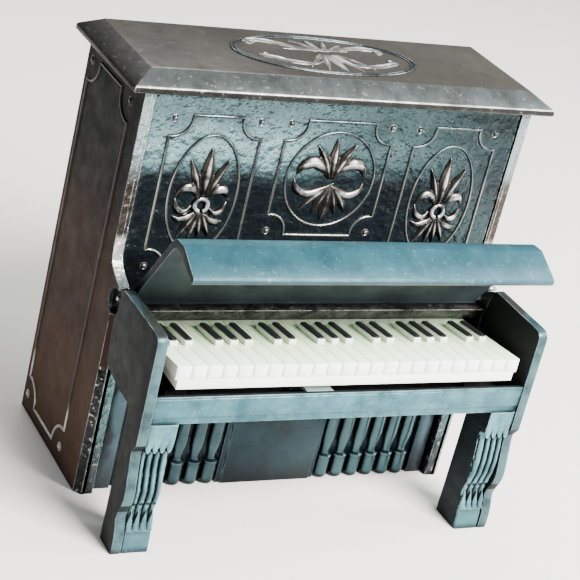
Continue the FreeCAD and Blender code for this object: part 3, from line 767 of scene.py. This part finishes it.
def notched_path(half_w, half_h, inset, radius, per=10):
    """Rectangle with its corners bitten out round a rivet, as a closed path."""
    cu, cv = half_w - inset, half_h - inset
    swing = math.degrees(math.asin(inset / radius))
    path = []
    for su, sv, middle in ((1, 1, 225), (-1, 1, 315), (-1, -1, 45), (1, -1, 135)):
        half = 45 + swing
        path += arc((su * cu, sv * cv), radius, middle + half, middle - half, per)
    return path


def even(path, step):
    """Closed path with extra points so that no span is longer than step."""
    out = []
    for a, b in zip(path, path[1:] + path[:1]):
        pieces = max(1, int((b - a).length / step))
        out += [a.lerp(b, k / pieces) for k in range(pieces)]
    return out


def rivet(shell, face, u, v, radius, height):
    """Domed head in a shallow seat with a raised rim."""
    profile = [(radius * 1.5, -0.05), (radius * 1.5, 0.02), (radius * 1.3, 0.05),
               (radius * 1.1, 0.0)]
    for k in range(7):
        a = math.pi / 2 * k / 6
        profile.append((radius * math.cos(a), height * math.sin(a)))
    shell.turned(face.at(u, v), face.out, profile, 20)


def make_side_relief(name, sign):
    face = Face((sign * CASE_HALF, FRAME_Y, FRAME_Z), (0, 1, 0), (0, 0, 1), (sign, 0, 0))
    bead = Shell()
    frame_line = even(notched_path(FRAME_HALF_Y, FRAME_HALF_Z, 0.35, 3.25), 2.0)
    stroke(bead, face, frame_line, 0.45, 0.2, closed=True)
    add_piece(name + "_side_bead", bead, SIDE_BEAD)
    heads = Shell()
    for y, z in ((17.6, 55.65), (3.1, 55.75), (17.9, 2.75), (3.4, 2.75)):
        rivet(heads, face, y - FRAME_Y, z - FRAME_Z, 0.45, 0.28)
    add_piece(name + "_side_rivet_heads", heads, SIDE_BEAD,
              stands_for=[name + "_side_rivets"])


def make_top():
    """Board with a square band below and a broad bevel up to its flat."""
    levels = [(TOP_HALF - d, TOP_FRONT + d, TOP_BACK - d, SIDE_H + rise)
              for d, rise in ((0.25, 0), (0.0, 0.18), (0.0, 0.78), (0.18, 1.03))]
    levels += [(FLAT_HALF, FLAT_FRONT, FLAT_BACK, TOP_H - 0.08),
               (FLAT_HALF - 0.4, FLAT_FRONT + 0.35, FLAT_BACK - 0.35, TOP_H)]
    board = Shell()
    board.rings([[Vector(p) for p in ((-x, y0, z), (x, y0, z), (x, y1, z), (-x, y1, z))]
                 for x, y0, y1, z in levels])
    # the accents paint reflection on the front bevel, shade on the ends and front band, and a worn
    # rim
    add_piece("top", board, TOP, stands_for=["top_board"], bevel=0.1,
              accents=[(TOP_FRONT_FACE, faces_front), (TOP_SHADED_FACES, faces_aside), (TOP_SHADED_FACES, front_band),
                       (TOP_RIM, front_rim)])


def ellipse(a, b, steps=96):
    return [Vector((a * math.cos(2 * math.pi * k / steps), b * math.sin(2 * math.pi * k / steps)))
            for k in range(steps)]


def make_medallion():
    face = Face((0, MEDAL_Y, TOP_H), (1, 0, 0), (0, 1, 0), (0, 0, 1))
    lines = Shell()
    stroke(lines, face, ellipse(MEDAL_A - 0.15, MEDAL_B - 0.15), 0.32, 0.2, closed=True)
    stroke(lines, face, ellipse(MEDAL_A - 0.75, MEDAL_B - 0.75), 0.28, 0.16, closed=True)
    add_piece("medallion_rings", lines, BEAD)
    art = Shell()
    stroke(art, face, [(-5.9 + 10.8 * k / 12, 1.85 + 0.03 * k) for k in range(13)], 0.7, 0.28,
           "ridge", taper=crescent)
    curl(art, face, [(-0.5, 1.6), (-4.2, 2.9), (-7.4, 4.2), (-9.9, 4.3), (-11.0, 3.4),
                     (-10.2, 2.7)], 1.25, 0.3)
    curl(art, face, [(0.5, 1.5), (4.0, 2.9), (7.0, 3.7), (9.4, 3.4), (10.3, 2.6), (9.5, 1.9)],
         1.25, 0.3)
    curl(art, face, [(-0.3, -1.6), (-3.4, -3.4), (-6.4, -3.3), (-9.0, -2.0), (-10.6, -1.4),
                     (-10.3, -0.5)], 1.2, 0.3)
    curl(art, face, [(0.8, -1.7), (4.2, -3.4), (7.2, -3.0), (9.3, -2.1), (10.9, -1.2),
                     (10.2, -0.3)], 1.2, 0.3)
    for x, y, width, foot in ((-3.6, 4.9, 0.9, 1.9), (-0.9, 5.6, 1.0, 1.9), (2.2, 5.7, 1.0, 1.9),
                              (4.8, 4.6, 0.9, 1.9), (-4.4, -4.8, 0.9, 0.6),
                              (-1.9, -5.5, 1.2, 0.6), (0.9, -5.8, 1.5, 0.6),
                              (3.6, -5.3, 1.2, 0.6), (6.0, -4.4, 0.9, 0.6)):
        leaf(art, face, (x * 0.2 + 0.4, foot), (x, y), width, 0.3)
    for x, y in ((-9.9, 3.4), (9.6, 2.7), (-9.8, -1.1), (10.0, -0.9)):
        art.turned(face.at(x, y), face.out,
                   [(0.5, -0.05), (0.45, 0.15), (0.25, 0.27), (0.0, 0.3)], 16)
    add_piece("medallion", art, MEDALLION, stands_for=["top_medallion"], fuse=0.08, polish=1)


def panel_face(middle, height=0):
    return Face((middle, PANEL_FACE, height), (1, 0, 0), (0, 0, 1), (0, -1, 0))


def make_panel():
    board = Shell()
    board.box(-PANEL_HALF, PANEL_HALF, PANEL_FACE, PANEL_BACK, PANEL_LOW, SIDE_H)
    add_piece("panel", board, PANEL, stands_for=["upper_panel"])
    lines, heads = Shell(), Shell()
    for middle, height, half_w, half_h, oval in PANEL_FRAMES:
        face = panel_face(middle, height)
        stroke(lines, face, even(notched_path(half_w, half_h, 0.45, 2.6), 1.5), 0.42, 0.24,
               closed=True)
        stroke(lines, face, ellipse(*oval, steps=72), 0.36, 0.22, closed=True)
        for su in (-1, 1):
            for sv in (-1, 1):
                rivet(heads, face, su * (half_w - 0.4), sv * (half_h - 0.55), 0.36, 0.3)
    add_piece("panel_beads", lines, BEAD)
    add_piece("panel_rivets", heads, BEAD, stands_for=["front_rivets"])


def make_side_palmette(name, middle):
    face = panel_face(middle)
    art = Shell()
    leaf(art, face, (0.0, 44.2), (0.0, 51.2), 2.0, 0.62)
    leaf(art, face, (-0.6, 44.3), (-2.8, 49.5), 1.25, 0.58, -0.03)
    leaf(art, face, (0.6, 44.3), (2.95, 49.5), 1.45, 0.58, 0.03)
    curl(art, face, [(-0.7, 44.0), (-1.7, 45.3), (-3.0, 45.3), (-3.95, 43.9)], 1.5, 0.6)
    curl(art, face, [(0.8, 43.9), (1.8, 45.1), (3.0, 45.2), (3.8, 44.0)], 1.5, 0.6)
    curl(art, face, [(-3.95, 43.8), (-3.4, 42.4), (-2.2, 42.0), (-1.2, 43.0)], 1.0, 0.55)
    curl(art, face, [(1.2, 42.6), (2.1, 41.8), (3.1, 42.2), (3.75, 43.5)], 1.0, 0.55)
    stroke(art, face, arc((0.0, 42.95), 0.95, -70, 255, 18), 0.85, 0.6)
    curl(art, face, [(-0.3, 42.0), (-1.4, 41.3), (-2.8, 40.8), (-4.0, 41.3)], 1.1, 0.55)
    curl(art, face, [(0.5, 41.8), (1.6, 40.9), (2.7, 40.5), (3.8, 40.6)], 1.1, 0.55)
    for x, z, width in ((-2.7, 38.0, 1.25), (-0.9, 37.7, 1.1), (0.6, 37.7, 1.1),
                        (2.2, 38.1, 1.25)):
        leaf(art, face, (x * 0.12, 42.0), (x, z), width, 0.58)
    add_piece(name + "_spray", art, ORNAMENT, stands_for=[name + "_palmette"], fuse=0.065,
              polish=1)


def make_centre_palmette():
    face = panel_face(0)
    art = Shell()
    for x, z, width, bend in ((-3.05, 52.3, 1.45, -0.06), (-0.25, 53.4, 1.7, 0.0),
                              (2.95, 52.6, 1.7, 0.06)):
        leaf(art, face, (x * 0.1 + 0.1, 47.2), (x, z), width, 0.6, bend)
    curl(art, face, [(-5.4, 47.7), (-4.6, 49.2), (-3.0, 49.8), (-1.6, 49.0), (0.1, 47.7)], 1.8, 0.6)
    curl(art, face, [(0.3, 47.7), (1.8, 49.1), (3.2, 49.7), (4.6, 49.2), (5.4, 47.7)], 1.8, 0.6)
    curl(art, face, [(-5.5, 47.2), (-5.0, 45.9), (-3.2, 45.1), (-1.2, 45.7), (0.7, 46.6)], 1.3,
         0.58)
    curl(art, face, [(0.1, 46.5), (1.5, 45.6), (3.2, 45.0), (4.8, 45.6), (5.4, 46.8)], 1.3, 0.58)
    for row in (((0.1, 46.3), (-3.7, 42.7), 1.6, 0.58, -0.05),
                ((0.2, 46.3), (-1.7, 41.8), 1.6, 0.5, -0.02),
                ((0.3, 46.4), (0.0, 41.0), 2.0, 0.52),
                ((0.4, 46.3), (2.0, 42.0), 1.6, 0.5, 0.02),
                ((0.5, 46.3), (3.5, 42.3), 1.6, 0.58, 0.05)):
        leaf(art, face, *row)
    add_piece("centre_spray", art, ORNAMENT, stands_for=["centre_palmette"], fuse=0.065,
              polish=1)


def make_fall_rail():
    strip = Shell()
    strip.prism([(-5.45, PANEL_LOW), (-3.85, 27.1), (PANEL_BACK, 27.1), (PANEL_BACK, PANEL_LOW)],
                -SIDE_IN, SIDE_IN)
    add_piece("rail_behind_keys", strip, RAIL, stands_for=["fall_rail"], bevel=0.12)


# ---- lower front ----


def make_lower():
    board = Shell()
    board.box(-STILE_IN, STILE_IN, FIELD_FACE, FIELD_FACE + 1.2, 0, LOWER_TOP)
    board.box(-BORDER_HALF, BORDER_HALF, CENTRE_FACE + 0.3, FIELD_FACE + 0.1, 0, LOWER_TOP)
    board.box(-CENTRE_HALF, CENTRE_HALF, CENTRE_FACE, FIELD_FACE + 0.1, 0, LOWER_TOP)
    add_piece("lower_board", board, LOWER, stands_for=["lower_panel"], bevel=0.12)
    for name, sign in (("left", -1), ("right", 1)):
        post = Shell()
        post.box(*sorted((sign * POST_IN, sign * POST_OUT)), POST_FACE, FIELD_FACE, 0, LOWER_TOP)
        add_piece(name + "_post", post, POST, stands_for=[name + "_pilaster"],
                  bevel=0.15)
        for i in range(BALUSTER_COUNT):
            make_baluster("%s_baluster_%d" % (name, i + 1),
                          sign * (BALUSTER_FIRST + BALUSTER_STEP * i))


def make_baluster(node_name, x):
    profile = [(0.0, 0.0), (0.7, 0.0), (0.95, 0.12), (1.13, 0.4), (1.18, 0.8), (1.18, 3.2),
               (1.12, 3.42), (1.14, 3.55), (1.24, 3.65), (1.24, 3.9), (1.1, 4.02), (0.8, 4.2),
               (0.72, 4.5), (0.78, 5.0), (0.92, 5.7), (1.06, 6.5), (1.14, 7.4), (1.14, LOWER_TOP),
               (0.0, LOWER_TOP)]
    spindle = Shell()
    spindle.turned((x, FIELD_FACE, 0), (0, 0, 1), profile, 21, 180)
    add_piece(node_name + "_turned", spindle, TURNED, stands_for=[node_name])


# ---- keyboard ----


def key_top(y):
    return KEY_TOP - KEY_TILT * (y - KEY_FRONT)


def sharp_centres():
    return [KEYS_SHIFT - KEYS_HALF + gap * PITCH for gap in range(1, WHITE_COUNT)
            if gap % 7 in (1, 2, 4, 5, 6)]


def rounded_rectangle(u0, u1, v0, v1, radius, per=4):
    corners = [((u1 - radius, v0 + radius), -90), ((u1 - radius, v1 - radius), 0),
               ((u0 + radius, v1 - radius), 90), ((u0 + radius, v0 + radius), 180)]
    return [p for centre, start in corners for p in arc(centre, radius, start, start + 90, per)]


def make_keys():
    keys, pads = Shell(), Shell()
    gap = 0.06
    for i in range(WHITE_COUNT):
        x0 = -KEYS_HALF + KEYS_SHIFT + i * PITCH + gap
        x1 = x0 + PITCH - 2 * gap
        keys.prism([(KEY_FRONT + 0.06, KEY_LIP), (KEY_FRONT + 0.06, key_top(KEY_FRONT)),
                    (KEY_BACK, key_top(KEY_BACK)), (KEY_BACK, KEY_LIP)], x0, x1)
        loops = []
        for back, shrink in ((0.1, 0.0), (0.02, 0.0), (-0.03, 0.06)):
            outline = rounded_rectangle(x0 + 0.12 + shrink, x1 - 0.12 - shrink,
                                        KEY_LIP + 0.17 + shrink, KEY_TOP - 0.1 - shrink, 0.38)
            loops.append([Vector((p.x, KEY_FRONT + back, p.y)) for p in outline])
        pads.rings(loops)
    left, right = KEYS_SHIFT - KEYS_HALF, KEYS_SHIFT + KEYS_HALF
    block = Shell()
    block.prism([(KEY_FRONT + 0.2, KEY_LIP), (KEY_FRONT + 0.2, KEY_TOP - 0.17),
                 (KEY_BACK, key_top(KEY_BACK) - 0.15), (KEY_BACK, KEY_LIP)],
                left + 0.05, right - 0.05)
    block.box(left + 0.45, right - 0.45, KEY_FRONT + 0.05, KEY_BACK, KEY_BASE, KEY_LIP + 0.05)
    add_piece("keys", keys, WHITE, stands_for=["white_keys"], bevel=0.07,
              accents=[(KEY_TOPS, faces_up)])
    add_piece("key_fronts", pads, WHITE)
    add_piece("key_block", block, WHITE, bevel=0.08)
    stubs, caps = Shell(), Shell()
    for x in sharp_centres():
        half = SHARP_W / 2
        stubs.prism([(SHARP_FRONT, key_top(SHARP_FRONT) - 0.2),
                     (SHARP_FRONT + 0.1, key_top(SHARP_FRONT) + SHARP_RISE),
                     (SHARP_BACK, key_top(SHARP_BACK) + SHARP_RISE),
                     (SHARP_BACK, key_top(SHARP_BACK) - 0.2)], x - half, x + half)
        loops = []
        for rise, shrink in ((-0.02, 0.0), (0.15, 0.0), (0.26, 0.05), (0.3, 0.16)):
            outline = rounded_rectangle(x - half + 0.08 + shrink, x + half - 0.08 - shrink,
                                        SHARP_FRONT + 0.22 + shrink, SHARP_BACK - shrink,
                                        0.36 - shrink)
            loops.append([Vector((p.x, p.y, key_top(p.y) + SHARP_RISE + rise)) for p in outline])
        caps.rings(loops)
    add_piece("sharp_stubs", stubs, WHITE, bevel=0.1)
    add_piece("sharp_tops", caps, CAP, stands_for=["sharp_caps"])


def make_slip():
    """Rail under the keys, with a groove below its upper edge."""
    front = [(SLIP_FRONT + d, z) for d, z in
             ((0.18, LOWER_TOP), (0.18, 21.14), (0, 21.3), (0, 23.92), (0.09, 23.98), (0.09, 24.06),
              (0, 24.12), (0.02, 24.27), (0.1, 24.35))]
    back = [(SLIP_BACK - 0.1, 24.35), (SLIP_BACK, 24.25), (SLIP_BACK, LOWER_TOP)]
    rail = Shell()
    rail.prism(front + back, -SIDE_IN, SIDE_IN)
    # painted shade on the rail's top face, under the keys
    add_piece("front_rail", rail, TEAL, stands_for=["key_slip"], bevel=0.05,
              accents=[(INNER_AND_SHADE, faces_up)])


def arm_outline():
    nose = smooth_line([(-17.9, 33.2), (-18.75, 32.95), (-19.2, 32.3), (-19.3, 31.4)], 5)
    knee = smooth_line([(-18.6, 15.2), (-18.95, 12.9), (-19.4, 9.9), (-19.2, 8.2), (-18.4, 6.2),
                        (-18.3, 5.2)], 5)
    foot = smooth_line([(-18.3, 5.2), (-18.75, 3.6), (-18.98, 1.8), (-18.95, 0)], 5)
    rear = [(LEG_BACK, 0), (LEG_BACK, 20.75), (-10.0, 20.95), (-6.1, 21.8), (-5.7, 22.5),
            (-5.45, 25.1), (-5.25, 28.4), (-5.9, 29.9), (-6.15, 31.4), (-6.75, 33.2)]
    return nose + [(-19.45, 20.0), (-19.5, 17.3), (-18.6, 16.0)] + knee + foot[1:] + rear


def carved_y(u, z):
    """Front surface of the carved leg: u runs 0 to 1 across it, four reeds side by side, with
    flames over the foot, notches under the block at the top and both long edges rolled."""
    sway = 0.035 * math.sin((z - 4.0) * 0.5)
    phase = ((u + sway) * REED_COUNT) % 1.0
    notch = abs(2 * phase - 1)
    crest = math.sqrt(max(0.0, 1 - notch ** 2))
    y = lookup(LEG_PROFILE, z)
    depth = lookup([(3.3, 0.0), (4.2, 0.3), (6.5, 0.6), (9.0, 0.85), (15.2, 0.9), (16.2, 0.3)], z)
    y += depth * (1 - crest)
    flame = 4.4 + 2.2 * (1 - notch) ** 0.8
    y -= 0.35 * lookup([(3.2, 0), (3.5, 1), (flame - 0.5, 1), (flame, 0)], z)
    y += 0.2 * (1 - crest) * lookup([(3.2, 0), (3.7, 1), (4.6, 0)], z)
    edge = 15.75 + 0.9 * notch ** 1.5
    block = lookup([(edge - 0.1, 0), (edge + 0.2, 1)], z)
    flare = 0.3 * (crest - 0.75) * lookup([(16.4, 1), (18.4, 0)], z)
    roll = lookup([(0.0, 0.3), (0.03, 0.05), (0.06, 0.0), (0.95, 0.0), (0.98, 0.12), (1.0, 0.5)], u)
    return y + (BLOCK_FACE - flare - y) * block + roll * (1 - 0.7 * block)


def make_leg(name, sign):
    across, tall = 57, 190
    leg = Shell()
    loops = []
    for j in range(tall):
        z = LOWER_TOP * j / (tall - 1)
        loop = []
        for i in range(across):
            u = i / (across - 1)
            x = LEG_IN + (SIDE_IN - LEG_IN) * u
            loop.append(Vector((sign * x, carved_y(u, z), z)))
        loop.append(Vector((sign * SIDE_IN, LEG_BLOCK_BACK, z)))
        loop.append(Vector((sign * LEG_IN, LEG_BLOCK_BACK, z)))
        loops.append(loop)
    leg.rings(loops)
    # painted shade on the leg's sideways and overhanging faces
    add_piece(name + "_carved_leg", leg, TEAL_LEG, stands_for=[name + "_leg"],
              accents=[(SHADED_SIDE, sideways), (SHADED_SIDE, overhangs)])
    arm = Shell()
    arm.prism(arm_outline(), sign * CASE_HALF, sign * SIDE_IN)
    # the cheek's rim gets a painted reflection and its overhangs painted shade
    add_piece(name + "_cheek", arm, ARM, stands_for=[name + "_arm"], bevel=0.15,
              accents=[(ARM_RIM, not_sideways), (SHADED_SIDE, overhangs)])


# ---- fallboard ----


def plate_point(along, back):
    """Point of the fallboard's plate: along it from the hinge, and behind its middle."""
    a = math.radians(FALL_ANGLE)
    return Vector((HINGE_Y - along * math.cos(a) + back * math.sin(a),
                   HINGE_Z + along * math.sin(a) + back * math.cos(a)))


def make_fallboard():
    top = [plate_point(15.3, 0.65), (-12.95, 43.95), (-13.35, 44.1), (-15.2, 44.16), (-15.5, 44.08),
           (-17.5, 43.08), (-19.65, 41.95)]
    front = smooth_line([(-19.65, 41.95), (-19.93, 41.4), (-19.55, 40.85)], 4)[1:]
    under = [(-17.4, 41.7), (-15.0, 42.58), (-13.9, 42.9), (-13.45, 42.8), plate_point(15.0, -0.45)]
    knuckle = []
    for k in range(9):
        spin = math.pi * (0.12 + 0.76 * k / 8)
        knuckle.append(plate_point(-0.75 * math.sin(spin), -0.75 * math.cos(spin)))
    line = [plate_point(0.1, 0.65)] + top + front + under + [plate_point(0.1, -0.45)] + knuckle
    lid = Shell()
    lid.prism(line, -FALL_HALF, FALL_HALF)
    # painted shade on the lid's faces that look down and on its ends
    add_piece("lid", lid, TEAL_LID, "fallboard", ["fallboard"], bevel=0.1,
              accents=[(SHADED_UNDERSIDE, looks_down), (SHADED_SIDE, sideways)])
    for name, sign in (("left", -1), ("right", 1)):
        pin = Shell()
        pin.turned((sign * 26.2, HINGE_Y, HINGE_Z), (sign, 0, 0),
                   [(0.0, 0), (0.35, 0), (0.35, 3.05), (0.3, 3.17), (0.12, 3.22), (0.0, 3.23)], 20)
        add_piece(name + "_pin", pin, STEEL, "fallboard", [name + "_hinge_pin"])


# ---- stage ----


def plain_material(name, colour, rough):
    material, tree, shader, coords = new_material(name)
    cloud = grey_noise(tree, coords, 6, 3.0)
    tree.links.new(mix_colour(tree, maths(tree, "MULTIPLY", cloud, 0.2), colour,
                              tuple(c * 0.93 for c in colour)), shader.inputs["Base Color"])
    shader.inputs["Roughness"].default_value = rough
    return material


FLOOR_REACH = 1.5
SKY_COLOUR, SKY_STRENGTH = (0.80, 0.86, 0.90, 1), 0.25
# name, place and aim in metres, size in metres, watts, colour
LAMPS = [("key", (0.13, -0.32, 0.34), (0, 0, 0.03), (0.24, 0.24), 14.0, (1.0, 0.99, 0.97)),
         ("right", (0.38, -0.06, 0.22), (0, 0, 0.03), (0.2, 0.2), 3.0, (0.96, 0.99, 1.0)),
         ("back", (0.02, 0.30, 0.34), (0, 0, 0.05), (0.3, 0.12), 1.5, (1.0, 1.0, 1.0))]


def area_light(name, place, target, size, power, colour):
    data = bpy.data.lights.new(name, "AREA")
    data.shape = "RECTANGLE"
    data.size, data.size_y = size
    data.energy = power
    data.color = colour
    lamp = bpy.data.objects.new(name, data)
    bpy.context.scene.collection.objects.link(lamp)
    lamp.location = place
    lamp.rotation_euler = (Vector(target) - Vector(place)).to_track_quat("-Z", "Y").to_euler()


def make_stage():
    mesh = bpy.data.meshes.new("floor")
    corners = ((-1, -1), (1, -1), (1, 1), (-1, 1))
    mesh.from_pydata([(FLOOR_REACH * x, FLOOR_REACH * y, 0) for x, y in corners], [],
                     [[0, 1, 2, 3]])
    floor = bpy.data.objects.new("floor", mesh)
    bpy.context.scene.collection.objects.link(floor)
    mesh.materials.append(plain_material("pale_floor", (0.72, 0.70, 0.67), 0.85))
    world = bpy.data.worlds.new("studio")
    bpy.context.scene.world = world
    world.use_nodes = True
    sky = world.node_tree.nodes["Background"]
    sky.inputs["Color"].default_value = SKY_COLOUR
    sky.inputs["Strength"].default_value = SKY_STRENGTH
    for lamp in LAMPS:
        area_light(*lamp)


# place in metres, direction of view, roll in degrees, lens in millimetres
CAMERA_PLACE = (-0.12288, -0.19835, 0.13593)
CAMERA_FORWARD = (0.47498, 0.77578, -0.41542)
CAMERA_ROLL = 14.34
CAMERA_LENS = 112.33


def make_camera():
    data = bpy.data.cameras.new("camera")
    data.lens, data.sensor_width = CAMERA_LENS, 36.0
    data.clip_start, data.clip_end = 0.01, 10.0
    camera = bpy.data.objects.new("camera", data)
    bpy.context.scene.collection.objects.link(camera)
    aim = Vector(CAMERA_FORWARD).to_track_quat("-Z", "Y")
    roll = Quaternion((0, 0, 1), math.radians(CAMERA_ROLL))
    camera.matrix_world = Matrix.Translation(CAMERA_PLACE) @ (aim @ roll).to_matrix().to_4x4()
    bpy.context.scene.camera = camera


for side_name, side_sign in (("left", -1), ("right", 1)):
    make_side(side_name, side_sign)
    make_side_relief(side_name, side_sign)
    make_leg(side_name, side_sign)
    make_side_palmette(side_name, side_sign * SIDE_FRAME_X)
make_top()
make_medallion()
make_panel()
make_centre_palmette()
make_fall_rail()
make_lower()
make_keys()
make_slip()
make_fallboard()
for plain in ("back_panel", "base_plate", "key_bed", "key_support", "keyboard_clip"):
    metal = LIT_CLIP if plain == "keyboard_clip" else INNER_AND_SHADE
    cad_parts[plain].data.materials.clear()
    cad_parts[plain].data.materials.append(metal)
make_stage()
make_camera()
